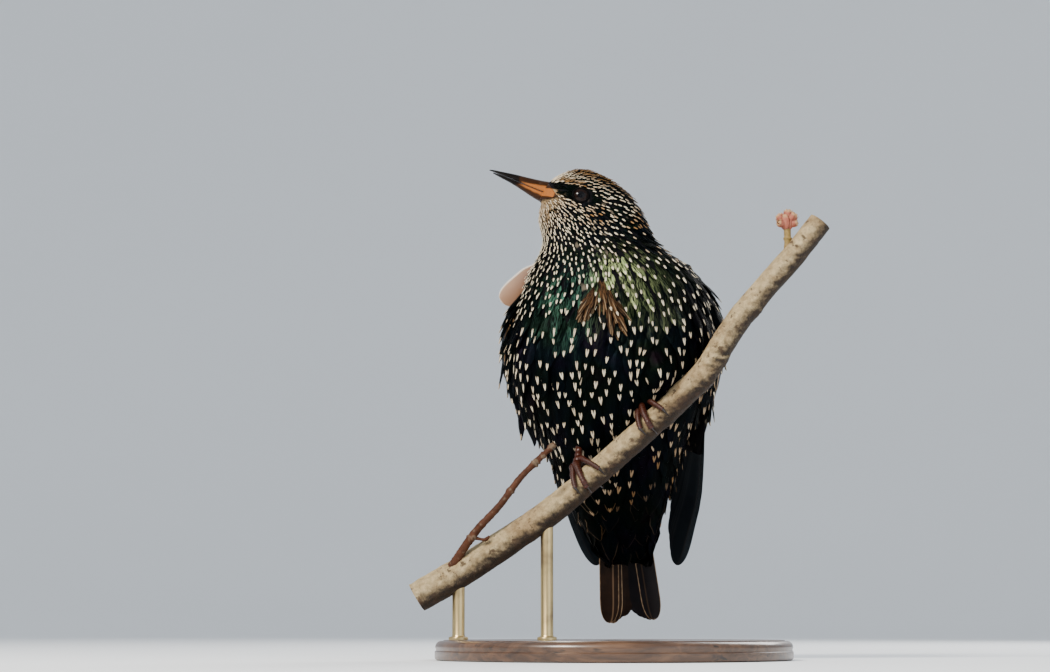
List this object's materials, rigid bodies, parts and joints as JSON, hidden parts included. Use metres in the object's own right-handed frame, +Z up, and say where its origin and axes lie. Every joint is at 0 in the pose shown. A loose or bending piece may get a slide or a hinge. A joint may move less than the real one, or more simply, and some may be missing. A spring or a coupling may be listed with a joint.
{
  "type": "starling",
  "caption": "Perched songbird in spotted glossy winter plumage with its head turned aside, gripping a cut length of branch held by rods over a round base",
  "frame": {"origin": "centre of the underside of the round display base", "axes": "+Z up; the breast faces -Y; the bill points towards -X, raised 22 degrees"},
  "size_m": [0.1673, 0.144, 0.1973],
  "materials": {
    "plumage": "glossy black body feathers with green and purple sheen, each with a pale buff or white tip",
    "flight_feathers": "dark brown black vanes with a satin sheen and thin buff edges",
    "bill": "smooth horn, dark grey brown, warmer orange brown at the base",
    "eye": "dark brown glossy eye",
    "foot_scales": "red brown scuted skin with dark claws",
    "bark": "pale cream and tan smooth bark with grey brown patches and bud scars",
    "twig_bark": "red brown thin bark with pale nodes",
    "bud": "pink and buff bud scales",
    "base_wood": "dark stained wood, satin varnish",
    "rod_metal": "brushed old brass"
  },
  "bodies": {
    "root": {"head": "plumage", "neck": "plumage", "torso": "plumage", "thigh_left": "plumage", "thigh_right": "plumage", "wing_left": "flight_feathers", "wing_right": "flight_feathers", "tail": "flight_feathers", "bill_upper": "bill", "bill_lower": "bill", "eye_left": "eye", "eye_right": "eye", "foot_left": "foot_scales", "foot_right": "foot_scales", "branch": "bark", "twig": "twig_bark", "bud": "bud", "stand_base": "base_wood", "stand_rod_1": "rod_metal", "stand_rod_2": "rod_metal"}
  },
  "joints": []
}
